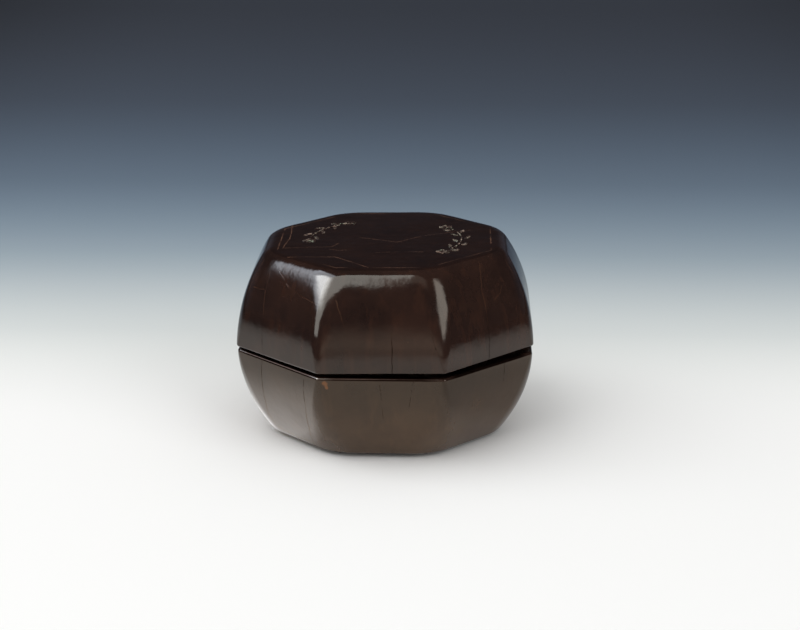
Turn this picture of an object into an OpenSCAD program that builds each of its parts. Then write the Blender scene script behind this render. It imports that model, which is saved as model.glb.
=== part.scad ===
// Eight-sided lacquered box for seal paste, with a lift-off lid and a porcelain dish inside.
// Lengths are in millimetres. Z is up, the table is at z = 0 and the front facet faces -Y.
// The lid and the base are each drawn from the seam outwards: their own z is the distance from the seam.

/* [Lid] */
// Width of the lid across its flats, at its lower edge
lid_flats = 76; // [66:1:100]
// Height of the lid, from its lower edge to its top
lid_h = 24.2; // [20:0.2:28]
// Radius of the lid's facets, seen from the side
lid_arc = 42; // [36:0.1:60]
// Rounding of the lid's lower edge
lid_lip = 0.6; // [0.3:0.1:1]
// Rounding of the lid's top edge
lid_shoulder = 4; // [0.6:0.1:5]
// Corner radius of the lid at its lower edge
lid_corner = 1.2; // [0.8:0.1:4]
// Corner radius of the lid at its top
lid_top_corner = 11; // [2:0.1:13]
// Lean of the lid on its seat in degrees, with the +X side up
lid_lean = 0.75; // [0:0.05:1.5]

/* [Base] */
// How far the lid stands out past the base, on each side
lid_overhang = 0.25; // [0:0.05:1]
// Height of the base, from its foot ring to its ledge
base_h = 22.7; // [19:0.1:26]
// Radius of the base's facets, seen from the side
base_arc = 38.3; // [33:0.1:60]
// Rounding of the base's ledge
base_lip = 0.8; // [0.3:0.1:1.2]
// Rounding of the base's bottom edge
foot_edge = 1.0; // [0.5:0.1:2]
// Corner radius of the base at its ledge
base_corner = 1.4; // [0.8:0.1:4]
// Corner radius of the base at its foot
foot_corner = 12; // [2:0.1:13]
// Height by which the lacquer is worn back from the ends of the staves
foot_wear = 0.15; // [0.1:0.05:0.4]
// Height of the foot ring, which lifts the base off the table
ring_h = 1.2; // [0.6:0.1:2]
// Width of the foot ring
ring_w = 2.7; // [2:0.1:3.5]
// How far the foot ring reaches out under the ends of the staves
ring_grip = 1.2; // [0.8:0.1:1.6]

/* [Layers] */
// Thickness of the outer lacquer with its ground
coat_t = 1.2; // [1.1:0.1:1.6]
// Thickness of the lacquer over the ends of the staves, at the seam
lip_coat_t = 0.5; // [0.3:0.1:1]
// Thickness of the wooden staves
stave_t = 4.2; // [3.6:0.1:5.4]
// Thickness of the lacquer inside
lining_t = 0.5; // [0.3:0.1:0.8]

/* [Boards] */
// Thickness of the lid's top board
top_board_t = 2.6; // [2:0.1:4]
// Width of the ledge that the top board rests on
top_ledge = 0.8; // [0.5:0.1:1.2]
// Thickness of the floor board
floor_board_t = 2.8; // [2:0.1:4]
// Height of the floor board over the ends of the staves
floor_recess = 2.0; // [1:0.1:3]
// Width of the ledge that the floor board rests on
floor_ledge = 1.8; // [1:0.1:2.5]

/* [Seat] */
// Open height of the seam at the middle of the box
seam_gap = 1.0; // [0.8:0.1:2]
// Height of the collar over the ledge
collar_h = 4.0; // [3:0.1:6]
// Depth of the collar below the ledge
collar_depth = 7.0; // [5:0.1:9]
// Thickness of the collar
collar_t = 2.2; // [1.8:0.1:2.4]
// Chamfer round the collar's top
collar_chamfer = 0.5; // [0.2:0.1:0.8]
// Radius of the collar's outer corners
collar_corner = 1.5; // [0.8:0.1:3]
// Clearance between the lid and the collar, on each side
lid_clear = 0.3; // [0.2:0.05:0.6]
// Clearance between the lid and the top of the collar, on the low side
seat_clear = 0.1; // [0.05:0.05:0.3]

/* [Dish] */
// Room round the dish's rim, inside the collar
dish_room = 5.4; // [3:0.1:8]
// Height of the dish
dish_h = 12.5; // [10:0.1:13]
// Radius of the bend between the dish's wall and its floor
dish_bend = 9.5; // [6:0.1:11]
// Thickness of the dish
dish_t = 2.0; // [1.5:0.1:2.4]
// Radius of the dish's foot ring
dish_foot_r = 15; // [11:0.1:16]
// Width of the dish's foot ring
dish_foot_w = 2.2; // [1.5:0.1:4]
// Height of the dish's foot ring
dish_foot_h = 1.1; // [0.6:0.1:1.6]
// Clearance under the dish
dish_clear = 0.1; // [0.05:0.05:0.3]
// Depth of the paste's edge below the dish's rim
paste_edge = 3.0; // [2:0.1:5]
// Height of the paste's crown over its edge
paste_crown = 3.6; // [1:0.1:5]

/* [Inlay] */
// Width of the plain margin round the top, outside the sprays
inlay_margin = 8.5; // [6:0.1:14]
// Thickness of the shell
shell_t = 0.3; // [0.2:0.05:0.5]
// Height by which the shell stands over the lacquer
shell_proud = 0.05; // [0.03:0.01:0.1]
// Width of a spray's stem
stem_w = 0.3; // [0.2:0.05:0.5]
// Length of a leaf
leaf_len = 2.8; // [2:0.1:3.4]
// Width of a leaf
leaf_w = 1.0; // [0.6:0.1:1.4]
// Distance of a leaf's middle from its stem
leaf_out = 1.5; // [1.3:0.1:2]
// Radius of a petal
petal_r = 0.62; // [0.4:0.02:0.7]
// Distance of a petal's middle from the blossom's middle
petal_out = 1.25; // [1.2:0.05:1.6]
// Radius of a blossom's middle
heart_r = 0.4; // [0.2:0.05:0.45]

/* [Hidden] */

$fn = 180;
// Number of sides, and the angle from one facet to the next
sides = 8;
turn = 360 / sides;
// Flat steps along a rounded edge, up a facet and round a corner
edge_steps = 3;
arc_steps = 12;
corner_steps = 5;
// Overlap that lets a cut run past the surface it opens
over = 1;

lacquer = [0.16, 0.09, 0.06];
lining_black = [0.07, 0.05, 0.05];
cedar = [0.55, 0.36, 0.2];
porcelain = [0.93, 0.94, 0.92];
vermilion = [0.75, 0.12, 0.06];
pearl = [0.86, 0.8, 0.78];

// Distance of a layer from the box's axis, h away from the seam and off below the facet's surface
function layer_a(a, arc, off, h) = a - arc + sqrt(pow(arc - off, 2) - h * h);

lid_a = lid_flats / 2;
base_a = lid_a - lid_overhang;
core_off = coat_t + stave_t;
ledge_z = ring_h + base_h;

// Seat: the collar stands flush with the lining below it, and the lid's rebate goes over it
collar_in_a = layer_a(base_a, base_arc, core_off + lining_t, collar_depth);
collar_a = collar_in_a + collar_t;
rebate_a = collar_a + lid_clear + lining_t;
lean_drop = collar_a * sin(lid_lean);
rebate_h = collar_h - seam_gap + lean_drop + seat_clear + lining_t;

// Boards, measured from the seam
lid_core_h = lid_h - coat_t;
top_board_z = lid_core_h - top_board_t;
top_board_a = layer_a(lid_a, lid_arc, core_off, top_board_z) + top_ledge;
floor_top_z = base_h - floor_recess - floor_board_t;
floor_board_a = layer_a(base_a, base_arc, core_off, floor_top_z);
foot_a = floor_board_a - floor_ledge;

// Dish and paste, measured up from the underside of the dish
dish_z = ring_h + floor_recess + floor_board_t + lining_t + dish_clear;
dish_r = collar_in_a - dish_room;
dish_bend_r = dish_r - dish_bend;
paste_level = dish_h - paste_edge;
paste_r = dish_bend_r + sqrt(pow(dish_bend - dish_t, 2) - pow(max(0, dish_foot_h + dish_bend - paste_level), 2));
crown_arc = (paste_r * paste_r + paste_crown * paste_crown) / (2 * paste_crown);

// Inlay: two sprays follow one circle round the middle of the lid
top_flat_a = lid_a - lid_arc + sqrt(pow(lid_arc - lid_shoulder, 2) - pow(lid_h - lid_shoulder, 2));
stem_r = top_flat_a - inlay_margin;
leaf_arc = (leaf_len * leaf_len + leaf_w * leaf_w) / (4 * leaf_w);

// Places a piece of the lid, and one of the base, that is drawn from the seam outwards
module at_lid() translate([0, 0, ledge_z + seam_gap]) rotate([0, -lid_lean, 0]) children();
module at_base() translate([0, 0, ledge_z]) rotate([180, 0, 0]) children();

// Middle of the rounding e of an edge that lies h away from the seam
function edge_a(a, arc, e, h) = a - arc + sqrt(pow(arc - e, 2) - pow(h - e, 2));

// Side view of a skin as [distance from axis, distance from seam]: rounded lip, facet arc, rounded far edge.
// The far edge stops short by cut.
function skin_line(a, arc, lip, far, h, cut) =
    let(
        lip_a = edge_a(a, arc, lip, 2 * lip),
        lip_end = asin(lip / (arc - lip)),
        far_a = edge_a(a, arc, far, h),
        far_start = atan2(h - far, far_a - a + arc),
        far_end = asin(1 - cut / far)
    )
    concat(
        [for (i = [0 : edge_steps])
            let(t = -90 + (90 + lip_end) * i / edge_steps)
            [lip_a + lip * cos(t), lip + lip * sin(t)]],
        [for (i = [1 : arc_steps - 1])
            let(t = lip_end + (far_start - lip_end) * i / arc_steps)
            [a - arc + arc * cos(t), arc * sin(t)]],
        [for (i = [0 : edge_steps])
            let(t = far_start + (far_end - far_start) * i / edge_steps)
            [far_a + far * cos(t), h - far + far * sin(t)]]
    );

// One rounded octagon at a point p of a skin's side view
function skin_ring(p, corner) = [
    for (k = [0 : sides - 1])
    for (j = [0 : corner_steps])
        let(
            middle = turn * (k + 0.5),
            t = turn * (k + j / corner_steps),
            c = (p[0] - corner) / cos(turn / 2)
        )
        [c * cos(middle) + corner * cos(t), c * sin(middle) + corner * sin(t), p[1]]
];

// Solid inside a skin: rounded octagons joined from the lip to the far edge. The corner radius grows fastest near
// the lip.
module skin_solid(line, corner, far_corner, h) {
    n = sides * (corner_steps + 1);
    last = len(line) - 1;
    points = [for (p = line) each skin_ring(p, corner + (far_corner - corner) * sin(90 * p[1] / h))];
    bands = [
        for (i = [0 : last - 1])
        for (j = [0 : n - 1])
            let(
                low = i * n + j,
                low_next = i * n + (j + 1) % n
            )
            each [[low, low + n, low_next + n], [low, low_next + n, low_next]]
    ];
    near_cap = [for (j = [0 : n - 1]) j];
    far_cap = [for (j = [n - 1 : -1 : 0]) last * n + j];
    polyhedron(points, concat(bands, [near_cap, far_cap]));
}

// Straight octagon of half width a, between two distances from the seam
module octagon(a, from, to) {
    translate([0, 0, from]) rotate(turn / 2)
        cylinder(h = to - from, r = a / cos(turn / 2), $fn = sides);
}

// Side view of one facet's layer, from just past the axis out to its arc
module layer_profile(a, arc, off, from, to) {
    intersection() {
        translate([a - arc, 0]) circle(arc - off);
        translate([-over, from]) square([a + over, to - from]);
    }
}

// One facet's layer as a slab, from left to right along the facet
module slab(a, arc, off, from, to, left, right) {
    translate([0, right, 0]) rotate([90, 0, 0])
        linear_extrude(right - left) layer_profile(a, arc, off, from, to);
}

// Eight-sided barrel with sharp corners, off below the facets
module barrel(a, arc, off, from, to) {
    intersection_for (k = [0 : sides / 2 - 1])
        rotate(turn * k) {
            slab(a, arc, off, from, to, -a, a);
            rotate(180) slab(a, arc, off, from, to, -a, a);
        }
}

// Corner stave k of a shell: half of two neighbouring facets, hollowed to the inner layer and into the board's place
module corner_stave(k, a, arc, from, to, board_z) {
    rotate(turn * k) difference() {
        intersection() {
            slab(a, arc, coat_t, from, to, 0, a);
            rotate(turn) slab(a, arc, coat_t, from, to, -a, 0);
        }
        intersection() {
            slab(a, arc, core_off, -over, board_z + over, -a, a);
            rotate(turn) slab(a, arc, core_off, -over, board_z + over, -a, a);
        }
    }
}

module lid_stave(k) {
    color(cedar) at_lid() difference() {
        corner_stave(k, lid_a, lid_arc, lip_coat_t, lid_core_h, top_board_z);
        octagon(rebate_a, -over, rebate_h);
        octagon(top_board_a, top_board_z, lid_core_h + over);
    }
}

module base_stave(k) {
    color(cedar) at_base() difference() {
        corner_stave(k, base_a, base_arc, lip_coat_t, base_h, floor_top_z);
        octagon(collar_a, -over, collar_depth);
        octagon(floor_board_a, floor_top_z, floor_top_z + floor_board_t);
        octagon(foot_a, floor_top_z, base_h + over);
    }
}

module lid_coat() {
    color(lacquer) at_lid() difference() {
        skin_solid(
            skin_line(lid_a, lid_arc, lid_lip, lid_shoulder, lid_h, 0),
            lid_corner, lid_top_corner, lid_h
        );
        barrel(lid_a, lid_arc, coat_t, lip_coat_t, lid_core_h);
        octagon(rebate_a, -over, lip_coat_t + over);
        translate([0, 0, lid_h - shell_t]) linear_extrude(shell_t + over) sprays();
    }
}

module base_coat() {
    color(lacquer) at_base() difference() {
        skin_solid(
            skin_line(base_a, base_arc, base_lip, foot_edge, base_h, foot_wear),
            base_corner, foot_corner, base_h
        );
        barrel(base_a, base_arc, coat_t, lip_coat_t, base_h + over);
        octagon(collar_a, -over, lip_coat_t + over);
    }
}

// Room inside the lid's staves, drawn in by inset and opened below the seam by mouth
module lid_room(inset, mouth) {
    barrel(lid_a, lid_arc, core_off + inset, -mouth, top_board_z - inset);
    octagon(rebate_a - inset, -mouth, rebate_h - inset);
}

module lid_lining() {
    color(lining_black) at_lid() difference() {
        lid_room(0, 0);
        lid_room(lining_t, over);
    }
}

module base_lining() {
    color(lining_black) at_base() difference() {
        barrel(base_a, base_arc, core_off, collar_depth, floor_top_z);
        barrel(base_a, base_arc, core_off + lining_t, collar_depth - over, floor_top_z - lining_t);
    }
}

module lid_top_board() {
    color(cedar) at_lid() octagon(top_board_a, top_board_z, lid_core_h);
}

module base_floor_board() {
    color(cedar) at_base() octagon(floor_board_a, floor_top_z, floor_top_z + floor_board_t);
}

// Lacquer of the recess under the box: a shallow tray below the floor board
module underside_coat() {
    board_z = floor_top_z + floor_board_t;
    color(lining_black) at_base() difference() {
        octagon(foot_a, board_z, base_h - foot_wear);
        octagon(foot_a - lining_t, board_z + lining_t, base_h + over);
    }
}

// Low ring under the ends of the staves, set back from the base's edge
module foot_ring() {
    ring_a = foot_a + ring_grip;
    color(lining_black) difference() {
        octagon(ring_a, 0, ring_h);
        octagon(ring_a - ring_w, -over, ring_h + over);
    }
}

// Octagonal ring that stands in the base and carries the lid, chamfered round its top
module seat_collar() {
    color(lining_black) translate([0, 0, ledge_z]) difference() {
        skin_solid(
            [
                [collar_a, -collar_depth],
                [collar_a, collar_h - collar_chamfer],
                [collar_a - collar_chamfer, collar_h]
            ],
            collar_corner, collar_corner, collar_h
        );
        octagon(collar_in_a, -collar_depth - over, collar_h + over);
    }
}

// Half of the dish's side view, off inside its outer face and open at the rim
module dish_profile(off) {
    translate([0, dish_foot_h + off]) square([dish_bend_r, dish_h - dish_foot_h - off]);
    translate([dish_bend_r, dish_foot_h + dish_bend]) intersection() {
        circle(dish_bend - off);
        translate([0, -dish_bend]) square(dish_bend);
    }
    translate([0, dish_foot_h + dish_bend])
        square([dish_r - off, dish_h - dish_foot_h - dish_bend]);
}

module paste_dish() {
    color(porcelain) translate([0, 0, dish_z]) rotate_extrude() {
        difference() {
            dish_profile(0);
            dish_profile(dish_t);
        }
        translate([dish_r - dish_t / 2, dish_h]) circle(dish_t / 2);
        translate([dish_foot_r - dish_foot_w, 0]) square([dish_foot_w, dish_foot_h + dish_t / 2]);
    }
}

// Soft cake of paste that fills the dish and swells up to a low crown
module seal_paste() {
    color(vermilion) translate([0, 0, dish_z]) rotate_extrude() intersection() {
        dish_profile(dish_t);
        translate([0, paste_level + paste_crown - crown_arc]) circle(crown_arc);
    }
}

module leaf() {
    intersection() {
        translate([0, leaf_arc - leaf_w / 2]) circle(leaf_arc);
        translate([0, leaf_w / 2 - leaf_arc]) circle(leaf_arc);
    }
}

module blossom() {
    petals = 5;
    circle(heart_r);
    for (i = [0 : petals - 1])
        rotate(360 / petals * i) translate([petal_out, 0]) circle(petal_r);
}

// One spray along the stem circle: leaves on both sides in turn, and a blossom at each end
module spray(from, to, leaves) {
    leaf_tilt = 55;
    blossom_room = 9;
    intersection() {
        difference() {
            circle(stem_r + stem_w / 2);
            circle(stem_r - stem_w / 2);
        }
        polygon([
            [0, 0],
            2 * stem_r * [cos(from + blossom_room), sin(from + blossom_room)],
            2 * stem_r * [cos(to - blossom_room), sin(to - blossom_room)]
        ]);
    }
    for (i = [0 : leaves - 1]) {
        side = i % 2 == 0 ? 1 : -1;
        rotate(from + (to - from) * (i + 1) / (leaves + 1))
            translate([stem_r + side * leaf_out, 0])
                rotate(side * leaf_tilt) leaf();
    }
    for (end = [from, to])
        rotate(end) translate([stem_r, 0]) blossom();
}

// A long spray on the right of the top and a shorter one at the back left
module sprays() {
    spray(-40, 38, 8);
    spray(122, 184, 6);
}

module shell_inlay() {
    color(pearl) at_lid()
        translate([0, 0, lid_h - shell_t]) linear_extrude(shell_t + shell_proud) sprays();
}

base_coat();
base_lining();
base_floor_board();
underside_coat();
foot_ring();
seat_collar();
base_stave(0);  // base_stave_1
base_stave(1);  // base_stave_2
base_stave(2);  // base_stave_3
base_stave(3);  // base_stave_4
base_stave(4);  // base_stave_5
base_stave(5);  // base_stave_6
base_stave(6);  // base_stave_7
base_stave(7);  // base_stave_8
paste_dish();
seal_paste();
lid_coat();
lid_lining();
lid_top_board();
shell_inlay();
lid_stave(0);  // lid_stave_1
lid_stave(1);  // lid_stave_2
lid_stave(2);  // lid_stave_3
lid_stave(3);  // lid_stave_4
lid_stave(4);  // lid_stave_5
lid_stave(5);  // lid_stave_6
lid_stave(6);  // lid_stave_7
lid_stave(7);  // lid_stave_8
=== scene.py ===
# %% [markdown]
# # An eight-sided lacquer box for seal paste
# The box is a wooden core under dark brown lacquer, with a lid that lifts off, a low collar that the lid
# goes over and a porcelain dish of red paste inside. This lesson dresses the measured model of it. The
# measured pieces keep their size and place, and Blender adds the hand-polished skins, the finishes, the
# light and the camera.

# %% Load the measured model
import math

import bmesh
import bpy
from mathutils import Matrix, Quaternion, Vector


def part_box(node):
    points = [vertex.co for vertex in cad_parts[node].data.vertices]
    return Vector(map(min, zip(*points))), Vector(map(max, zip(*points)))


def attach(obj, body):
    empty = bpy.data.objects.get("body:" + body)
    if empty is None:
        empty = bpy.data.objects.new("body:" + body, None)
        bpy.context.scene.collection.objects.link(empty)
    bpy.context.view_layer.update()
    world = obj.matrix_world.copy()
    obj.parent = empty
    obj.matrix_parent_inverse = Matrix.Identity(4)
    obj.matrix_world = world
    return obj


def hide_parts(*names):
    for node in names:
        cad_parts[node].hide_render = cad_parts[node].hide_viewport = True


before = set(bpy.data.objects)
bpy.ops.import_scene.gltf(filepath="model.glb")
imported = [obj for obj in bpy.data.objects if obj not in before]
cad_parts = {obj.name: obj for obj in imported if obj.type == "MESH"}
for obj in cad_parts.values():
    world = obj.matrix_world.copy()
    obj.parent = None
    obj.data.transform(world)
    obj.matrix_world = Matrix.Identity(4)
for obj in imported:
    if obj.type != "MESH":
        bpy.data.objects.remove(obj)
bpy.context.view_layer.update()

# %% [markdown]
# ## Sizes
# A skin that stands for a measured node has to have its size, so the sizes that the maker set are written
# here once more, in metres. The lid and the base are both described from the seam outwards: a half width at
# the seam, the radius of the facets seen from the side, and the roundings. What can be read from the model
# is read from it.

# %% Sizes of the lid and the base
mm = 0.001
sides = 8
turn = 2 * math.pi / sides
half_turn = turn / 2

lid_half = 38 * mm
lid_height = 24.2 * mm
lid_arc = 42 * mm
lid_lip = 0.6 * mm
lid_shoulder = 4 * mm
lid_corner = 1.2 * mm
lid_top_corner = 11 * mm
lid_lean = math.radians(0.75)
seam_gap = 1.0 * mm

base_half = 37.75 * mm
ledge_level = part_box("base_coat")[1].z
ring_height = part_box("foot_ring")[1].z
base_height = ledge_level - ring_height
base_arc = 38.3 * mm
base_lip = 0.8 * mm
foot_edge = 1.0 * mm
foot_wear = 0.15 * mm
base_corner = 1.4 * mm
foot_corner = 12 * mm

coat_depth = 1.2 * mm
lip_coat_depth = 0.5 * mm
seam_level = ledge_level + seam_gap
print("ledge at", round(ledge_level / mm, 2), "mm, lid's lower edge at", round(seam_level / mm, 2), "mm")

# %% [markdown]
# ## Camera
# The view of a box is fixed by where the eye stands, so the camera comes first. It could be placed by eye,
# but here a camera was worked out from the corners of the lid and of the seam, which gives its direction,
# its distance and its lens. The aim lies a little right of and above the middle of the seam, and the lens
# has no shift.

# %% Set up the camera
view_azimuth = math.radians(2.34)
view_elevation = math.radians(17.68)
view_distance = 489 * mm
aim_right = 3.4 * mm
aim_up = 3.35 * mm
sensor_width = 36
lens_length = 83.58


def outward(azimuth, elevation):
    """Direction from the box: azimuth 0 is the front, positive to the right, and elevation is upwards."""
    level = math.cos(elevation)
    return Vector((math.sin(azimuth) * level, -math.cos(azimuth) * level, math.sin(elevation)))


seam_middle = Vector((0, 0, seam_level))
to_eye = outward(view_azimuth, view_elevation)
rightwards = Vector((math.cos(view_azimuth), math.sin(view_azimuth), 0))
upwards = to_eye.cross(rightwards)
camera = bpy.data.objects.new("camera", bpy.data.cameras.new("camera"))
bpy.context.scene.collection.objects.link(camera)
camera.data.sensor_width = sensor_width
camera.data.lens = lens_length
camera.location = seam_middle + to_eye * view_distance
aim = seam_middle + rightwards * aim_right + upwards * aim_up
camera.rotation_euler = (aim - camera.location).to_track_quat("-Z", "Y").to_euler()
bpy.context.scene.camera = camera
bpy.context.scene.view_settings.view_transform = "Standard"
print("camera at", camera.location, "looks at", aim)

# %% [markdown]
# ## Words for node trees
# Every finish below is a tree of shader nodes. Building one by hand is a matter of adding a node, setting it
# and drawing a link, so each of these helpers takes up one such job, and most hand back the node's output. A
# value may be a number or another node's output. They keep the finishes short enough to read.

# %% Helpers for sums


def feed(tree, socket, value):
    """Links an output to a socket, or sets the socket's own value."""
    if isinstance(value, bpy.types.NodeSocket):
        tree.links.new(value, socket)
    else:
        socket.default_value = value


def maths(tree, operation, first, second=0.0):
    """One sum on numbers."""
    node = tree.nodes.new("ShaderNodeMath")
    node.operation = operation
    feed(tree, node.inputs[0], first)
    feed(tree, node.inputs[1], second)
    return node.outputs[0]


def times(tree, first, *others):
    """Numbers multiplied together."""
    for other in others:
        first = maths(tree, "MULTIPLY", first, other)
    return first


def vector_maths(tree, operation, first, second=(0, 0, 0), result="Vector"):
    """One sum on vectors, with a vector or a number as its result."""
    node = tree.nodes.new("ShaderNodeVectorMath")
    node.operation = operation
    feed(tree, node.inputs[0], first)
    feed(tree, node.inputs["Scale"] if operation == "SCALE" else node.inputs[1], second)
    return node.outputs[result]


print("helpers for sums are ready")

# %% Helpers for vectors and ranges


def split(tree, vector):
    """The three numbers of a vector."""
    node = tree.nodes.new("ShaderNodeSeparateXYZ")
    feed(tree, node.inputs[0], vector)
    return node.outputs


def together(tree, x, y, z):
    """A vector of three numbers."""
    node = tree.nodes.new("ShaderNodeCombineXYZ")
    for socket, part in zip(node.inputs, (x, y, z)):
        feed(tree, socket, part)
    return node.outputs[0]


def spread(tree, value, low, high, to_low=0.0, to_high=1.0, smooth=False):
    """A value's range from low to high becomes the range from to_low to to_high, and stops there."""
    node = tree.nodes.new("ShaderNodeMapRange")
    node.interpolation_type = "SMOOTHSTEP" if smooth else "LINEAR"
    for socket, part in zip(node.inputs, (value, low, high, to_low, to_high)):
        feed(tree, socket, part)
    return node.outputs["Result"]


print("helpers for vectors and ranges are ready")

# %% Helpers for patterns and colours


def object_place(tree):
    """Where a point lies on the piece, in metres."""
    return tree.nodes.new("ShaderNodeTexCoord").outputs["Object"]


def noise(tree, place, size, detail=2.0, roughness=0.5, result="Fac"):
    """Soft noise whose blobs are about size across."""
    node = tree.nodes.new("ShaderNodeTexNoise")
    feed(tree, node.inputs["Vector"], place)
    node.inputs["Scale"].default_value = 1 / size
    node.inputs["Detail"].default_value = detail
    node.inputs["Roughness"].default_value = roughness
    return node.outputs[result]


def blend(tree, amount, first, second):
    """One colour laid over another."""
    node = tree.nodes.new("ShaderNodeMix")
    node.data_type = "RGBA"
    feed(tree, node.inputs["Factor"], amount)
    feed(tree, node.inputs[6], first)
    feed(tree, node.inputs[7], second)
    return node.outputs[2]


print("helpers for patterns and colours are ready")

# %% Helpers for materials and relief


def bump(tree, shader, height, depth):
    """Raises the surface by a height from 0 to 1 that stands for a real depth."""
    node = tree.nodes.new("ShaderNodeBump")
    node.inputs["Distance"].default_value = depth
    feed(tree, node.inputs["Height"], height)
    tree.links.new(node.outputs["Normal"], shader.inputs["Normal"])


def new_material(name, ior):
    """A material with one Principled shader, given back with its tree and its shader."""
    material = bpy.data.materials.new(name)
    material.use_nodes = True
    tree = material.node_tree
    shader = tree.nodes["Principled BSDF"]
    shader.inputs["IOR"].default_value = ior
    return material, tree, shader


print("helpers for materials and relief are ready")

# %% [markdown]
# ## Table and backdrop
# The box stands on a pale sheet that turns slate blue away from the eye. A curved paper sweep would do it,
# but the camera looks down so far that one flat sheet fills the view. Its colour follows the distance behind
# the box, through a colour ramp on the sheet's own coordinates, and it stays a lit surface, so it takes the
# box's shadow. Out of the picture it turns dark at the sides, and in front grey and then pale again, which
# the facets mirror as soft bands. Beside a window a sheet is brighter than white. A picture can't show that,
# but the lacquer mirrors it, so mirrored rays see the sheet glow close by at the left. Close by at the right
# they see it a little darker.

# %% Lay out the sheet
sheet_half = 4.0

bpy.ops.object.select_all(action="DESELECT")
bpy.ops.mesh.primitive_plane_add(size=2 * sheet_half)
sheet = bpy.context.object
sheet.name = "sheet"
print("sheet of", 2 * sheet_half, "m")

# %% Colour the sheet
# A fade is where it starts and where it ends, in metres from the middle of the box.
ramp_reach = (-0.03, 0.77)
side_fade = (0.13, 0.50)
side_colour = (0.02, 0.02, 0.022, 1)
front_fade = (-0.13, -0.45)
front_colour = (0.46, 0.41, 0.37, 1)
far_front_fade = (-0.55, -1.6)
far_front_colour = (0.95, 0.85, 0.74, 1)
sheet_colours = [
    (0.00, (0.91, 0.91, 0.90)),
    (0.06, (0.91, 0.91, 0.90)),
    (0.13, (0.71, 0.74, 0.72)),
    (0.24, (0.26, 0.335, 0.40)),
    (0.38, (0.115, 0.155, 0.21)),
    (0.60, (0.062, 0.074, 0.098)),
    (1.00, (0.048, 0.054, 0.068)),
]
paper_ior = 1.5

sheet_paper, tree, shader = new_material("sheet_paper", paper_ior)
shader.inputs["Roughness"].default_value = 1
shader.inputs["Specular IOR Level"].default_value = 0
sheet_place = split(tree, object_place(tree))
across = sheet_place["X"]
away = sheet_place["Y"]
ramp = tree.nodes.new("ShaderNodeValToRGB")
ramp.color_ramp.interpolation = "B_SPLINE"
ramp.color_ramp.elements.remove(ramp.color_ramp.elements[1])
for at, colour in sheet_colours:
    stop = ramp.color_ramp.elements.new(at) if at > 0 else ramp.color_ramp.elements[0]
    stop.color = (*colour, 1)
feed(tree, ramp.inputs[0], spread(tree, away, *ramp_reach))
tone = blend(tree, spread(tree, away, *front_fade, smooth=True), ramp.outputs["Color"], front_colour)
tone = blend(tree, spread(tree, away, *far_front_fade, smooth=True), tone, far_front_colour)
far_aside = spread(tree, maths(tree, "ABSOLUTE", across), *side_fade, smooth=True)
sheet.data.materials.append(sheet_paper)
print("sheet has", len(sheet_colours), "colours in its ramp")

# %% What the lacquer mirrors of the sheet
left_glow = 0.93
glow_near = (-0.018, -0.025)
glow_far = (-0.078, -0.030)
glow_back = (0.02, -0.01)
glow_front = (-0.038, -0.028)
right_shade = 0.3
shade_near = (0.028, 0.040)
shade_far = (0.120, 0.070)

mirrored = tree.nodes.new("ShaderNodeLightPath").outputs["Is Glossy Ray"]
shade = times(tree, spread(tree, across, *shade_near), spread(tree, across, *shade_far, smooth=True))
shade = maths(tree, "MAXIMUM", far_aside, times(tree, shade, mirrored, right_shade))
feed(tree, shader.inputs["Base Color"], blend(tree, shade, tone, side_colour))
glow = times(tree, spread(tree, across, *glow_near), spread(tree, across, *glow_far, smooth=True))
for limit in (glow_back, glow_front):
    glow = times(tree, glow, spread(tree, away, *limit, smooth=True))
glow = times(tree, glow, mirrored)
feed(tree, shader.inputs["Emission Color"], together(tree, glow, glow, glow))
shader.inputs["Emission Strength"].default_value = left_glow
print(sheet_paper.name, "has", len(tree.nodes), "nodes")

# %% [markdown]
# ## Light
# A large soft lamp stands at the front left, a small one at the far left and a screen at the front right.
# They light the table and throw the short shadow to the right. Polished lacquer also mirrors whatever is
# bright, and a mirrored lamp would have to be just the shape of its highlight. So the lamps themselves are
# hidden from mirrored rays, and the next step paints into the room what the lacquer mirrors.

# %% Hang the lamps


def soft_lamp(name, azimuth, elevation, distance, width, height, radiance, roll=0):
    """A rectangular lamp that faces the box. Angles are in degrees, and radiance 1 looks white."""
    data = bpy.data.lights.new(name, "AREA")
    data.shape = "RECTANGLE"
    data.size = width
    data.size_y = height
    data.energy = radiance * math.pi * width * height
    lamp = bpy.data.objects.new(name, data)
    bpy.context.scene.collection.objects.link(lamp)
    away = outward(math.radians(azimuth), math.radians(elevation))
    lamp.location = seam_middle + away * distance
    facing = (-away).to_track_quat("-Z", "Y") @ Quaternion((0, 0, 1), math.radians(roll))
    lamp.rotation_euler = facing.to_euler()
    lamp.visible_glossy = False
    print(name, "at", lamp.location, "power", round(data.energy, 2), "W")


soft_lamp(
    "window_lamp", azimuth=-62, elevation=47, distance=1.0, width=1.4, height=1.05, radiance=1.26, roll=-20,
)
soft_lamp("left_lamp", azimuth=-98, elevation=37, distance=1.0, width=0.5, height=0.35, radiance=1.3)
soft_lamp("right_screen", azimuth=45, elevation=27, distance=1.1, width=0.75, height=0.75, radiance=2.35)

# %% [markdown]
# ## The room
# What lights a white table and what a polished facet mirrors are two things. A soft light overhead gives
# the table its brightness and a narrow, dark shadow under the foot. The mirrored room is dark, with a pale
# stretch low in front and some bright panels: a tall window at the front left that ends in a dim part, its
# glaring middle, its wide wing at the left, and a narrow screen at the right. The panels could be glowing
# planes round the box, but those would stand in other views. So a panel is one convex shape on the sky, or
# two, and a convex shape is cut out by one plane through the box for each of its edges. Light Path tells
# the two rooms apart: only mirrored and direct rays see the panels.

# %% A panel on the sky


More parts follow.
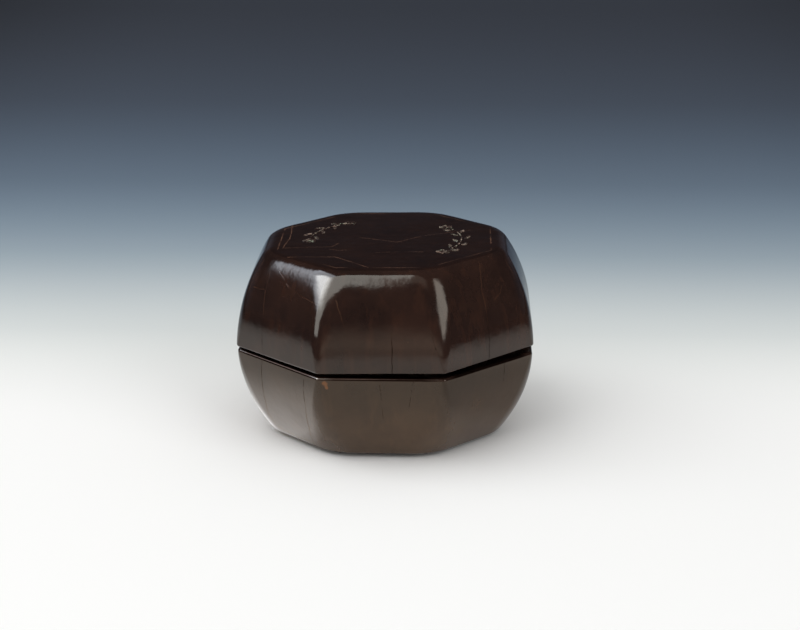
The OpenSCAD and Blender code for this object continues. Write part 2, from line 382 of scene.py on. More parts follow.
def panel(tree, direction, shapes, soft):
    """How far a direction lies inside convex shapes, whose corners are (azimuth, elevation) in order."""
    whole = 0.0
    for corners in shapes:
        ways = [outward(*map(math.radians, corner)) for corner in corners]
        middle = sum(ways, Vector())
        mask = 1.0
        for way, next_way in zip(ways, ways[1:] + ways[:1]):
            border = way.cross(next_way).normalized()
            if border.dot(middle) < 0:
                border.negate()
            inside = vector_maths(tree, "DOT_PRODUCT", direction, border, result="Value")
            mask = times(tree, spread(tree, inside, -soft, soft, smooth=True), mask)
        whole = maths(tree, "MAXIMUM", mask, whole)
    return whole


window = [
    [(-66, 21), (-4.6, 43.5), (-4.6, 82), (-66, 82)],
    [(-66, 8), (-54, 10), (-46, 34), (-66, 34)],
]
window_end = [[(-5, 44.5), (32, 44.5), (32, 82), (-5, 82)]]
glare = [[(-58, 28), (-56, 48), (-92, 52), (-98, 30)]]
wing = [[(-64, 22.5), (-64, 64), (-141, 48.2), (-99, 22.8)]]
screen = [[(56, 49), (44, 33), (43, 12), (54, 12), (71, 24), (70, 36)]]
panels = [
    (window, 0.022, (3.7, 3.9, 4.0)),
    (window_end, 0.05, (0.6, 0.52, 0.48)),
    (glare, 0.10, (12.0, 13.0, 14.2)),
    (wing, 0.035, (4.2, 4.7, 5.6)),
    (screen, 0.05, (3.7, 3.6, 3.5)),
]
print(len(panels), "panels of", sum(len(shapes) for shapes, soft, colour in panels), "shapes")

# %% Tone the room
# A fade is a range of Y or Z of a direction that has length 1.
overhead = 0.95
sidelight = 0.28
overhead_fade = (0.55, 0.95)
ahead_fade = (-0.72, -0.92)
behind_fade = (-0.2, 0.5)
low_fade = (0.31, 0.05)
low_front = (0.73, 0.64, 0.56, 1)
low_behind = (0.05, 0.06, 0.08, 1)
dark_front = (0.025, 0.022, 0.02, 1)
dark_behind = (0.014, 0.013, 0.015, 1)

room = bpy.data.worlds.new("room")
bpy.context.scene.world = room
room.use_nodes = True
tree = room.node_tree
direction = tree.nodes.new("ShaderNodeTexCoord").outputs["Generated"]
looking = split(tree, direction)
ahead = spread(tree, looking["Y"], *ahead_fade, smooth=True)
behind = spread(tree, looking["Y"], *behind_fade, smooth=True)
low = spread(tree, looking["Z"], *low_fade, smooth=True)
dark_tone = blend(tree, behind, dark_front, dark_behind)
low_tone = blend(tree, behind, blend(tree, ahead, dark_front, low_front), low_behind)
room_tone = blend(tree, low, dark_tone, low_tone)
for shapes, soft, colour in panels:
    shown = vector_maths(tree, "SCALE", colour, panel(tree, direction, shapes, soft))
    room_tone = vector_maths(tree, "ADD", room_tone, shown)
ray = tree.nodes.new("ShaderNodeLightPath").outputs
mirrored = maths(tree, "MAXIMUM", ray["Is Glossy Ray"], ray["Is Transmission Ray"])
seen = maths(tree, "MAXIMUM", ray["Is Camera Ray"], mirrored)
light = spread(tree, looking["Z"], *overhead_fade, sidelight, overhead, smooth=True)
light_tone = together(tree, light, light, light)
feed(tree, tree.nodes["Background"].inputs["Color"], blend(tree, seen, light_tone, room_tone))
print("room toned with", len(tree.nodes), "nodes")

# %% [markdown]
# ## Helpers for modelling
# Operators act on whatever is selected, so every piece starts with nothing selected. The skins are lofts:
# rounded octagons are stacked and each is bridged to the one before. A bevel on a finished barrel could round
# the corners, but its width can't grow evenly along an edge, and on this box the corner radius grows away
# from the seam. A loft gives each height its own radius. Vertex groups remember the rings while they are
# bridged. Two rings at the very same height leave the bridge no direction, and it may turn over, so flat
# stretches rise or fall by a hair.

# %% Stack rounded octagons
corner_steps = 8
round_profile = 0.5
hair = 0.01 * mm


def start_fresh():
    """Leaves edit mode and deselects everything."""
    if bpy.context.mode != "OBJECT":
        bpy.ops.object.mode_set(mode="OBJECT")
    bpy.ops.object.select_all(action="DESELECT")


def start_piece(name, radius):
    """A new piece in edit mode. It starts as a plain octagon, all of it selected."""
    start_fresh()
    bpy.ops.mesh.primitive_circle_add(vertices=sides, radius=radius)
    piece = bpy.context.object
    piece.name = name
    piece.data.name = name
    bpy.ops.object.mode_set(mode="EDIT")
    bpy.ops.mesh.select_mode(type="VERT")
    bpy.ops.mesh.select_all(action="SELECT")
    return piece


def add_octagon(half, height, corner):
    """Adds one rounded octagon of a half width, and remembers it as a vertex group."""
    bpy.ops.mesh.select_all(action="DESELECT")
    bpy.ops.mesh.primitive_circle_add(
        vertices=sides, radius=half / math.cos(half_turn), fill_type="NGON",
        location=(0, 0, height), rotation=(0, 0, half_turn),
    )
    bpy.ops.mesh.bevel(
        offset=corner * math.tan(half_turn), offset_type="OFFSET", segments=corner_steps,
        profile=round_profile, affect="VERTICES", clamp_overlap=False,
    )
    bpy.ops.object.vertex_group_assign_new()
    bpy.ops.mesh.delete(type="ONLY_FACE")


print("an octagon has", corner_steps, "steps round each corner")

# %% Bridge the octagons


def select_rings(piece, numbers):
    """Selects remembered rings and nothing else."""
    bpy.ops.mesh.select_all(action="DESELECT")
    for number in numbers:
        piece.vertex_groups.active_index = number
        bpy.ops.object.vertex_group_select()


def loft(name, rings, endless=False):
    """Piece made of rings (half width, height, corner radius), capped or joined end to end."""
    piece = start_piece(name, rings[0][0])
    bpy.ops.mesh.delete(type="VERT")
    for number, ring in enumerate(rings):
        add_octagon(*ring)
        if number > 0:
            select_rings(piece, (number - 1, number))
            bpy.ops.mesh.bridge_edge_loops()
    last = len(rings) - 1
    if endless:
        select_rings(piece, (last, 0))
        bpy.ops.mesh.bridge_edge_loops()
    else:
        for end in (0, last):
            select_rings(piece, (end,))
            bpy.ops.mesh.edge_face_add()
    bpy.ops.mesh.select_all(action="SELECT")
    bpy.ops.mesh.normals_make_consistent(inside=False)
    bpy.ops.object.mode_set(mode="OBJECT")
    piece.vertex_groups.clear()
    return piece


print("loft helpers are ready")

# %% Measure a finished piece


def report(piece):
    """Prints a piece's size and whether its mesh is closed."""
    shape = bmesh.new()
    shape.from_mesh(piece.data)
    open_edges = sum(not edge.is_manifold for edge in shape.edges)
    volume = round(shape.calc_volume() / mm ** 3, 1)
    print(piece.name, len(piece.data.polygons), "faces", open_edges, "open edges", volume, "mm3")
    shape.free()


print("measuring helper is ready")

# %% [markdown]
# ## Finishing a skin
# A skin that is fresh from the loft is too perfect: lacquer is laid and polished by hand, so a facet is never
# quite flat. The long edges of the facets are cut into strips, a Displace modifier with a cloud texture
# pushes the surface in by a seventh of a millimetre at most, and weighted normals keep the facets flat and
# the corners round in shading.

# %% Cut the facets of a skin
strip_count = 12
shortest_facet_edge = 5 * mm
level_tolerance = 0.001 * mm


def pick(piece):
    """Makes a piece the only one that operators act on."""
    start_fresh()
    piece.select_set(True)
    bpy.context.view_layer.objects.active = piece


def edit_piece(piece):
    """Opens a piece in edit mode, with nothing of it selected."""
    pick(piece)
    bpy.ops.object.mode_set(mode="EDIT")
    bpy.ops.mesh.select_all(action="DESELECT")


def cut_facets(piece):
    """Cuts the flat facets into upright strips."""
    edit_piece(piece)
    bpy.ops.mesh.select_mode(type="EDGE")
    shape = bmesh.from_edit_mesh(piece.data)
    for edge in shape.edges:
        low, high = sorted(vertex.co.z for vertex in edge.verts)
        edge.select = high - low < level_tolerance and edge.calc_length() > shortest_facet_edge
    bmesh.update_edit_mesh(piece.data)
    bpy.ops.mesh.subdivide(number_cuts=strip_count - 1)
    bpy.ops.object.mode_set(mode="OBJECT")


print("a facet is cut into", strip_count, "strips")

# %% Ripple and smooth a skin
ripple_depth = 0.14 * mm
ripple_size = 11 * mm
crisp_edge = math.radians(50)


def ripple(piece, depth, size, detail=1, part=""):
    """Pushes the surface in unevenly, all over or in one vertex group."""
    pick(piece)
    clouds = bpy.data.textures.new(piece.name + "_ripple", "CLOUDS")
    clouds.noise_scale = size
    clouds.noise_depth = detail
    modifier = piece.modifiers.new("ripple", "DISPLACE")
    modifier.texture = clouds
    modifier.texture_coords = "LOCAL"
    modifier.strength = depth
    modifier.mid_level = 1.0
    modifier.vertex_group = part
    bpy.ops.object.modifier_apply(modifier=modifier.name)


def smooth(piece):
    """Smooth shading with flat facets, and crisp edges where faces meet at a sharp angle."""
    pick(piece)
    bpy.ops.object.shade_smooth_by_angle(angle=crisp_edge)
    modifier = piece.modifiers.new("flat_facets", "WEIGHTED_NORMAL")
    modifier.keep_sharp = True
    bpy.ops.object.modifier_apply(modifier=modifier.name)


print("ripples are up to", ripple_depth / mm, "mm deep")

# %% [markdown]
# ## The lid's lacquer
# The lid's skin is a thick shell of lacquer over wood. Its side view is a lip, a long arc and a rounded
# shoulder, and the inside runs parallel to it where it meets the wood. A Solidify modifier could give it
# its thickness, but the shell is thinner at the lip. So the rings go from the inside of the top, down the
# inner wall, round the lip and up the outside, and one loft makes the whole closed shell. It is drawn level
# and then leans.

# %% Side view of a skin
# A point of a side view is (half width, distance from the seam).
quarter = math.pi / 2
lip_steps = 5
facet_steps = 22
far_steps = 7
core_steps = 6
core_corner = 0.4 * mm


def arc_points(middle_half, middle_rise, radius, start, end, steps):
    """Points of an arc in a side view."""
    step = (end - start) / steps
    angles = [start + step * i for i in range(steps + 1)]
    return [(middle_half + radius * math.cos(t), middle_rise + radius * math.sin(t)) for t in angles]


def skin_line(half, arc, lip, far, whole, cut):
    """Side view of a skin: rounded lip, facet arc and rounded far edge, which stops short by cut."""
    lip_half = half - arc + math.sqrt((arc - lip) ** 2 - lip ** 2)
    lip_end = math.asin(lip / (arc - lip))
    far_half = half - arc + math.sqrt((arc - far) ** 2 - (whole - far) ** 2)
    far_start = math.atan2(whole - far, far_half - half + arc)
    far_end = math.asin(1 - cut / far)
    line = arc_points(lip_half, lip, lip, -quarter, lip_end, lip_steps)
    line += arc_points(half - arc, 0, arc, lip_end, far_start, facet_steps)[1:-1]
    line += arc_points(far_half, whole - far, far, far_start, far_end, far_steps)
    return line


def core_line(half, arc, start, end):
    """Side view of the wood under a skin, between two distances from the seam."""
    rises = [start + (end - start) * i / core_steps for i in range(core_steps + 1)]
    return [(half - arc + math.sqrt((arc - coat_depth) ** 2 - rise * rise), rise) for rise in rises]


def corner_at(rise, whole, near, far):
    """Corner radius at a distance from the seam. It grows fastest near the lip."""
    return near + (far - near) * math.sin(quarter * rise / whole)


print("side views have", lip_steps + facet_steps + far_steps, "steps outside and", core_steps, "inside")

# %% Loft the lid's skin
collar_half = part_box("seat_collar")[1].x
lid_clearance = 0.3 * mm
lining_depth = 0.5 * mm
rebate_half = collar_half + lid_clearance + lining_depth
top_shares = (0.94, 0.7, 0.45, 0.2)

lid_outside = [
    (half, rise, corner_at(rise, lid_height, lid_corner, lid_top_corner))
    for half, rise in skin_line(lid_half, lid_arc, lid_lip, lid_shoulder, lid_height, 0)
]
lid_core = core_line(lid_half, lid_arc, lid_height - coat_depth, lip_coat_depth)
lid_inside = [(half, rise, core_corner) for half, rise in lid_core]
lid_mouth = [(rebate_half, lip_coat_depth - hair, core_corner), (rebate_half, hair, core_corner)]
top_half = lid_outside[-1][0]
lid_top = [
    (top_half * share, lid_height - hair * (1 - share), lid_top_corner * share) for share in top_shares
]

lid_skin = loft("lid_skin", lid_inside + lid_mouth + lid_outside + lid_top)
cut_facets(lid_skin)
ripple(lid_skin, ripple_depth, ripple_size)
lid_skin.location = seam_middle
lid_skin.rotation_euler = (0, -lid_lean, 0)
pick(lid_skin)
bpy.ops.object.transform_apply(location=True, rotation=True, scale=True)
smooth(lid_skin)
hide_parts("lid_coat")
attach(lid_skin, "lid")
report(lid_skin)

# %% [markdown]
# ## The base's lacquer
# The base is the lid turned over, a little narrower, with a sharper edge at its foot. Its skin is open at
# the bottom, where the lacquer is worn back from the table and the ends of the wood show. A copy of the lid
# could be turned over, but nearly every measure differs, so the same loft makes the base afresh, with
# heights measured down from the seam.

# %% Loft the base's skin
base_outside = [
    (half, ledge_level - drop, corner_at(drop, base_height, base_corner, foot_corner))
    for half, drop in skin_line(base_half, base_arc, base_lip, foot_edge, base_height, foot_wear)
]
base_core = core_line(base_half, base_arc, lip_coat_depth, base_height - foot_wear - hair)
base_inside = [(half, ledge_level - drop, core_corner) for half, drop in base_core]
base_mouth = [
    (collar_half, ledge_level - lip_coat_depth + hair, core_corner),
    (collar_half, ledge_level - hair, core_corner),
]

base_skin = loft("base_skin", base_mouth + base_outside + base_inside[::-1], endless=True)
cut_facets(base_skin)
ripple(base_skin, ripple_depth, ripple_size)
smooth(base_skin)
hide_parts("base_coat")
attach(base_skin, "base")
report(base_skin)

# %% [markdown]
# ## The collar
# A black ring stands in the base and the lid goes over it. In the open seam it shows as a dark band. It could
# be a pipe with bevelled edges, but its corners are rounded in plan and its upper edges are worn round, so it
# is a loft again, joined end to end, whose rings turn in over the top.

# %% Loft the collar
collar_low, collar_high = (corner.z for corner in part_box("seat_collar"))
collar_depth = 2.2 * mm
collar_corner = 1.5 * mm
collar_round = 0.5 * mm
collar_steps = 5
collar_ripple = 0.06 * mm
collar_inner = collar_half - collar_depth
round_level = collar_high - collar_round

collar_line = [(collar_half, collar_low)]
collar_line += arc_points(
    collar_half - collar_round, round_level, collar_round, 0, quarter, collar_steps,
)
collar_line += arc_points(
    collar_inner + collar_round, round_level - hair, collar_round, quarter, math.pi, collar_steps,
)
collar_line += [(collar_inner, collar_low + hair)]

collar = loft("collar", [(half, level, collar_corner) for half, level in collar_line], endless=True)
cut_facets(collar)
ripple(collar, collar_ripple, ripple_size)
smooth(collar)
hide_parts("seat_collar")
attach(collar, "base")
report(collar)

# %% [markdown]
# ## The porcelain dish
# A shallow dish keeps the oily paste off the lacquer. It was thrown on a wheel, so its side view is drawn
# once, point by point, and spun about the upright axis: foot ring, round belly, round rim and the inside back
# to the middle. A bowl could also be cut from a sphere, but a spun line gives the foot ring and the even wall
# in one go.

# %% Draw a line and spin it
spin_steps = 96


def spun(name, line):
    """Piece made by extruding a point along a side view and spinning the line about the upright axis."""
    piece = start_piece(name, line[1][0])
    bpy.ops.mesh.merge(type="CENTER")
    bpy.ops.transform.translate(value=(line[0][0], 0, line[0][1]))
    for (from_r, from_z), (to_r, to_z) in zip(line, line[1:]):
        step = (to_r - from_r, 0, to_z - from_z)
        bpy.ops.mesh.extrude_region_move(TRANSFORM_OT_translate={"value": step})
    bpy.ops.mesh.select_all(action="SELECT")
    bpy.ops.mesh.spin(steps=spin_steps, angle=2 * math.pi, center=(0, 0, 0), axis=(0, 0, 1))
    bpy.ops.mesh.select_all(action="SELECT")
    bpy.ops.mesh.remove_doubles(threshold=hair / 2)
    bpy.ops.mesh.normals_make_consistent(inside=False)
    bpy.ops.object.mode_set(mode="OBJECT")
    return piece


print("spin helper is ready,", spin_steps, "steps to a turn")

# %% Spin the dish
dish_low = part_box("paste_dish")[0].z
dish_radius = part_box("paste_dish")[1].x
dish_depth = 2.0 * mm
rim_level = dish_low + 12.5 * mm
rim_round = dish_depth / 2
rim_steps = 10
dish_bend = 9.5 * mm
bend_steps = 16
foot_radius = 15 * mm
foot_inner = foot_radius - 2.2 * mm
foot_round = 0.45 * mm
foot_steps = 4
foot_level = dish_low + foot_round
dish_under = dish_low + 1.1 * mm
dish_floor = dish_under + dish_depth
dish_arch = 0.25 * mm
bend_axis = dish_radius - dish_bend
bend_level = dish_under + dish_bend
dish_ripple = 0.08 * mm
dish_ripple_size = 9 * mm

dish_line = [(0, dish_under + dish_arch), (foot_inner, dish_under)]
dish_line += arc_points(foot_inner + foot_round, foot_level, foot_round, math.pi, 3 * quarter, foot_steps)
dish_line += arc_points(foot_radius - foot_round, foot_level, foot_round, -quarter, 0, foot_steps)
dish_line += [(foot_radius, dish_under)]
dish_line += arc_points(bend_axis, bend_level, dish_bend, -quarter, 0, bend_steps)
dish_line += arc_points(dish_radius - rim_round, rim_level, rim_round, 0, math.pi, rim_steps)
dish_line += arc_points(bend_axis, bend_level, dish_bend - dish_depth, 0, -quarter, bend_steps)
dish_line += [(bend_axis / 2, dish_floor), (0, dish_floor)]

dish = spun("dish", dish_line)
ripple(dish, dish_ripple, dish_ripple_size)
smooth(dish)
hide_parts("paste_dish")
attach(dish, "dish")
report(dish)

# %% [markdown]
# ## The paste
# The paste is a soft cake of red pigment, oil and plant fibre, patted into a low crown. Each time a seal is
# pressed into it, it keeps a flat print. It could be sculpted, but cuts and a texture put the marks just
# where they are wanted. The cake is spun like the dish. Four cuts across the crown then outline one print,
# the faces inside them are pressed down, and a cloud texture makes the rest of the top uneven.

# %% Spin the cake of paste
paste_level = dish_low + 9.5 * mm
crown_height = 3.6 * mm
crown_steps = 34
paste_clearance = 0.05 * mm
paste_bend = dish_bend - dish_depth - paste_clearance
level_angle = math.asin((paste_level - bend_level) / paste_bend)
paste_radius = bend_axis + paste_bend * math.cos(level_angle)
crown_arc = (paste_radius ** 2 + crown_height ** 2) / (2 * crown_height)
crown_middle = paste_level + crown_height - crown_arc
crown_edge = math.asin((paste_level - crown_middle) / crown_arc)

paste_line = [(0, dish_floor + paste_clearance)]
paste_line += arc_points(bend_axis, bend_level, paste_bend, -quarter, level_angle, bend_steps)
paste_line += arc_points(0, crown_middle, crown_arc, crown_edge, quarter, crown_steps)[1:]
paste = spun("paste", paste_line)
report(paste)

# %% Press a print into the paste
print_half = 4.5 * mm
print_middle = Vector((-6.5 * mm, -5 * mm, 0))
print_turn = math.radians(24)
print_depth = 0.5 * mm
print_turns = [print_turn + quarter * i for i in range(4)]
print_sides = [Vector((math.cos(t), math.sin(t), 0)) for t in print_turns]


def from_print(point):
    """How far a point lies from the middle of the print, square to the print's nearest side."""
    return max((point - print_middle).dot(side) for side in print_sides)


edit_piece(paste)
bpy.ops.mesh.select_mode(type="FACE")
for side in print_sides:
    bpy.ops.mesh.select_all(action="SELECT")
    bpy.ops.mesh.bisect(plane_co=print_middle + side * print_half, plane_no=side)
bpy.ops.mesh.select_all(action="DESELECT")
shape = bmesh.from_edit_mesh(paste.data)
for face in shape.faces:
    middle = face.calc_center_median()
    face.select = from_print(middle) < print_half and middle.z > paste_level
bmesh.update_edit_mesh(paste.data)
bpy.ops.mesh.extrude_region_move(TRANSFORM_OT_translate={"value": (0, 0, -print_depth)})
print("print of", sum(face.select for face in shape.faces), "faces")
bpy.ops.object.mode_set(mode="OBJECT")

# %% Make the paste lumpy
lump_depth = 0.7 * mm
lump_size = 3.2 * mm
lump_detail = 2

edit_piece(paste)
bpy.ops.mesh.select_mode(type="VERT")
shape = bmesh.from_edit_mesh(paste.data)
for vertex in shape.verts:
    vertex.select = vertex.co.z > paste_level + hair and from_print(vertex.co) > print_half + hair
bmesh.update_edit_mesh(paste.data)
bpy.ops.object.vertex_group_assign_new()
ripple(paste, lump_depth, lump_size, lump_detail, paste.vertex_groups[0].name)
paste.vertex_groups.clear()
smooth(paste)
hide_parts("seal_paste")
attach(paste, "dish")
report(paste)

# %% [markdown]
# ## Shared effects
# Some effects come back in several finishes: where a point lies on its facet, a hairline crack, wear along an
# edge, the haze that polishing leaves, specks, and wood grain. Each is a node group with named sockets, built
# once and then placed in every finish that needs it with other values. A group hands back only masks, places
# and values. The shader stays in the material.

# %% Helpers for node groups
number_socket = "NodeSocketFloat"
vector_socket = "NodeSocketVector"


def new_group(name, takes, gives):
    """A node group with named sockets, given back with the outputs and inputs at its two ends."""
    group = bpy.data.node_groups.new(name, "ShaderNodeTree")
    for label, kind in takes.items():
        group.interface.new_socket(label, in_out="INPUT", socket_type=kind)
    for label, kind in gives.items():
        group.interface.new_socket(label, in_out="OUTPUT", socket_type=kind)
    start = group.nodes.new("NodeGroupInput")
    end = group.nodes.new("NodeGroupOutput")
    return group, start.outputs, end.inputs


def use_group(tree, group, values):
    """Places a group in a tree, feeds its named sockets and gives back its outputs."""
    node = tree.nodes.new("ShaderNodeGroup")
    node.node_tree = group
    for label, value in values.items():
        feed(tree, node.inputs[label], value)
    return node.outputs


print("group helpers are ready")

# %% Facet place
# Place is (along the facet, height, number of the facet), so that a mark can be put on one facet alone.
# Out is how far out a point lies towards its facet, and Ridge how far it lies from the nearest corner.
facet_place, given, result = new_group(
    "facet_place", {"Vector": vector_socket},
    {"Place": vector_socket, "Out": number_socket, "Ridge": number_socket},
)
x, y, z = split(facet_place, given["Vector"])
bearing = maths(facet_place, "ARCTAN2", y, x)
facet_number = maths(facet_place, "ROUND", maths(facet_place, "DIVIDE", bearing, turn))
facing = times(facet_place, facet_number, turn)
cosine = maths(facet_place, "COSINE", facing)
sine = maths(facet_place, "SINE", facing)
out = maths(facet_place, "ADD", times(facet_place, x, cosine), times(facet_place, y, sine))
along = maths(facet_place, "SUBTRACT", times(facet_place, y, cosine), times(facet_place, x, sine))
half_facet = times(facet_place, out, math.tan(half_turn))
ridge = maths(facet_place, "SUBTRACT", half_facet, maths(facet_place, "ABSOLUTE", along))
round_number = maths(facet_place, "FLOORED_MODULO", facet_number, float(sides))
feed(facet_place, result["Place"], together(facet_place, along, z, round_number))
feed(facet_place, result["Out"], out)
feed(facet_place, result["Ridge"], ridge)
print(facet_place.name, "has", len(facet_place.nodes), "nodes")

# %% Hairline crack
# A thin line from one point to another. The distance to a line is the distance to its nearest point.
sharp_share = 0.35

hairline, given, result = new_group(
    "hairline",
    {"Place": vector_socket, "From": vector_socket, "To": vector_socket, "Width": number_socket},
    {"Mask": number_socket},
)
reach = vector_maths(hairline, "SUBTRACT", given["Place"], given["From"])
span = vector_maths(hairline, "SUBTRACT", given["To"], given["From"])
reached = vector_maths(hairline, "DOT_PRODUCT", reach, span, result="Value")
whole = vector_maths(hairline, "DOT_PRODUCT", span, span, result="Value")
share = spread(hairline, maths(hairline, "DIVIDE", reached, whole), 0.0, 1.0)
short = vector_maths(hairline, "SUBTRACT", reach, vector_maths(hairline, "SCALE", span, share))
miss = vector_maths(hairline, "LENGTH", short, result="Value")
inner_width = times(hairline, given["Width"], sharp_share)
feed(hairline, result["Mask"], spread(hairline, miss, inner_width, given["Width"], 1.0, 0.0, smooth=True))
print(hairline.name, "has", len(hairline.nodes), "nodes")

# %% Edge wear
# Wear is strongest at an edge and ends unevenly within its reach.
ragged_size = 3.5 * mm
ragged_range = (0.32, 0.62)
shortest_reach = 0.15
full_wear = 0.35

edge_wear, given, result = new_group(
    "edge_wear", {"Vector": vector_socket, "Distance": number_socket, "Reach": number_socket},
    {"Wear": number_socket},
)
ragged = noise(edge_wear, given["Vector"], ragged_size, detail=4, roughness=0.6)
reach = times(edge_wear, given["Reach"], spread(edge_wear, ragged, *ragged_range, shortest_reach, 1.0))
near = maths(edge_wear, "DIVIDE", given["Distance"], reach)
feed(edge_wear, result["Wear"], spread(edge_wear, near, full_wear, 1.0, 1.0, 0.0, smooth=True))


def wear(tree, place, distance, reach):
    """Wear within a reach of an edge, from the distance to that edge."""
    return use_group(tree, edge_wear, {"Vector": place, "Distance": distance, "Reach": reach})["Wear"]


print(edge_wear.name, "has", len(edge_wear.nodes), "nodes")

# %% Polish
# Haze dulls the gloss in soft patches and fine rubbing lines. Wave is the slight unevenness of a polished
# surface.
patch_size = 9 * mm
patch_range = (0.38, 0.68)
patch_share = 0.6
rub_stretch = (1.0, 1.0, 0.08)
rub_size = 0.7 * mm
rub_range = (0.5, 0.75)
rub_share = 0.4
wave_size = 2.4 * mm

polish, given, result = new_group(
    "polish", {"Vector": vector_socket}, {"Haze": number_socket, "Wave": number_socket},
)
patches = spread(polish, noise(polish, given["Vector"], patch_size, detail=3), *patch_range)
stretched = vector_maths(polish, "MULTIPLY", given["Vector"], rub_stretch)
rubbed = spread(polish, noise(polish, stretched, rub_size, detail=3), *rub_range)
haze = maths(polish, "ADD", times(polish, patches, patch_share), times(polish, rubbed, rub_share))
feed(polish, result["Haze"], haze)
feed(polish, result["Wave"], noise(polish, given["Vector"], wave_size, detail=2, roughness=0.45))
print(polish.name, "has", len(polish.nodes), "nodes")

# %% Specks
# Small round spots in some of the cells of a cell pattern.
spot_core = 0.6

specks, given, result = new_group(
    "specks",
    {"Vector": vector_socket, "Spacing": number_socket, "Share": number_socket, "Size": number_socket},
    {"Mask": number_socket},
)
cells = specks.nodes.new("ShaderNodeTexVoronoi")
specks.links.new(given["Vector"], cells.inputs["Vector"])
feed(specks, cells.inputs["Scale"], maths(specks, "DIVIDE", 1.0, given["Spacing"]))
chance = split(specks, cells.outputs["Color"])["X"]
chosen = maths(specks, "LESS_THAN", chance, given["Share"])
spot_edge = maths(specks, "DIVIDE", given["Size"], given["Spacing"])
spot_start = times(specks, spot_edge, spot_core)
spot = spread(specks, cells.outputs["Distance"], spot_start, spot_edge, 1.0, 0.0)
feed(specks, result["Mask"], times(specks, spot, chosen))


def speckle(tree, place, spacing, share, size):
    """Specks of a size, in a share of the cells of a pattern with a spacing."""
    values = {"Vector": place, "Spacing": spacing, "Share": share, "Size": size}
    return use_group(tree, specks, values)["Mask"]


print(specks.name, "has", len(specks.nodes), "nodes")

# %% Wood grain
# Grain runs along the vector's Z. Rings are soft bands that wander, and pores are short dark dashes along
# the grain.
ring_stretch = (1.0, 1.0, 0.12)
ring_spacing = 1.1 * mm
ring_wobble = 1.2
wander_size = 8 * mm
wander_reach = 5 * mm
pore_stretch = (1.0, 1.0, 0.05)
pore_size = 0.35 * mm
pore_range = (0.6, 0.72)

grain, given, result = new_group(
    "grain", {"Vector": vector_socket}, {"Rings": number_socket, "Pores": number_socket},
)
along_grain = vector_maths(grain, "MULTIPLY", given["Vector"], ring_stretch)
wander = noise(grain, along_grain, wander_size, detail=2, result="Color")
wander = vector_maths(grain, "SCALE", wander, wander_reach)
bands = grain.nodes.new("ShaderNodeTexWave")
bands.bands_direction = "X"
bands.wave_profile = "SAW"
bands.inputs["Scale"].default_value = 1 / (2 * math.pi * ring_spacing)
bands.inputs["Distortion"].default_value = ring_wobble
grain.links.new(vector_maths(grain, "ADD", along_grain, wander), bands.inputs["Vector"])
dashes = vector_maths(grain, "MULTIPLY", given["Vector"], pore_stretch)
feed(grain, result["Rings"], bands.outputs["Fac"])
feed(grain, result["Pores"], spread(grain, noise(grain, dashes, pore_size, detail=1), *pore_range))
print(grain.name, "has", len(grain.nodes), "nodes")

# %% [markdown]
# ## Brown lacquer
# The lacquer is a dark, reddish brown that was polished and then handled for a long time. It has cloudy
# patches and upright streaks where the wood moved, it is rubbed paler at the lid's lip and at the foot, and
# it has cracked along the joints of the core. Painting a picture on the box would be one way. Here every mark
# is a short line in the facet's own measure, in millimetres, so the marks stay sharp at any distance. Marks
# on the flat top use x and y, as facet 8.

# %% Marks in the lacquer
# A crack is the number of its facet, its width and its points, which are (along the facet, height).
top_face = 8
lid_cracks = [
    (5, 0.14, [(-7.5, 20.5), (-7, 16), (-6, 10.5), (-5, 0)]),
    (5, 0.12, [(-12, 16), (-7.5, 16.3)]),
    (5, 0.13, [(-4.5, 21.3), (1.3, 18.2), (10.8, 16.7), (12.8, 16.5)]),
    (5, 0.16, [(-12.2, 22.3), (-13.3, 18), (-14.2, 14)]),
    (6, 0.15, [(2.8, 10.3), (2.8, 0)]),
    (6, 0.13, [(-10.8, 17.8), (-8.6, 11)]),
    (6, 0.13, [(12, 11), (13.5, 6.3)]),
    (7, 0.16, [(3.2, 23.3), (0.8, 17.5), (-0.5, 0)]),
    (7, 0.13, [(7.6, 17), (6.5, 15.4), (4, 14.3)]),
    (7, 0.16, [(12.6, 22), (13.9, 17), (14.9, 11)]),
    (1, 0.13, [(-3, 22), (-2.6, 0)]),
    (3, 0.13, [(4, 20), (3, 0)]),
]
top_cracks = [
    (top_face, 0.16, [(-26, -8.4), (-19, -7.6), (-13.5, -7.5), (-12, -4)]),
    (top_face, 0.16, [(-26, -8.4), (-25, 2), (-25.5, 15)]),
    (top_face, 0.16, [(-14, -9.5), (-12, -10.8), (-9.5, -10.6)]),
    (top_face, 0.18, [(-24, -17), (-12, -17), (-3.2, -27)]),
    (top_face, 0.14, [(-2, -13), (4, -12.5), (10, -12.8)]),
    (top_face, 0.14, [(-7, 2), (3, -3), (9, 3), (22, 9)]),
]
base_cracks = [
    (5, 0.15, [(-5.8, 22), (-7.5, 9.8), (-8.5, 6.2), (-7.5, 2)]),
    (5, 0.16, [(10.5, 20.8), (9.9, 16.8), (9.7, 13.1), (8.9, 10.3), (8.1, 6.7), (6, 0.5)]),
    (5, 0.12, [(-8, 2.6), (0, 0.9), (5, 1.6)]),
    (6, 0.08, [(-0.3, 21), (0.5, 11.7)]),
    (6, 0.08, [(7.9, 21.8), (6.9, 15)]),
    (7, 0.15, [(5.3, 22), (5.6, 17)]),
    (0, 0.13, [(-2, 22), (-1, 11), (-2, 3)]),
    (2, 0.14, [(3, 22), (3.6, 12), (2.5, 4)]),
    (4, 0.13, [(-4, 22), (-3.4, 14)]),
]
print(len(lid_cracks + top_cracks), "cracks in the lid and", len(base_cracks), "in the base")

# %% Draw the marks


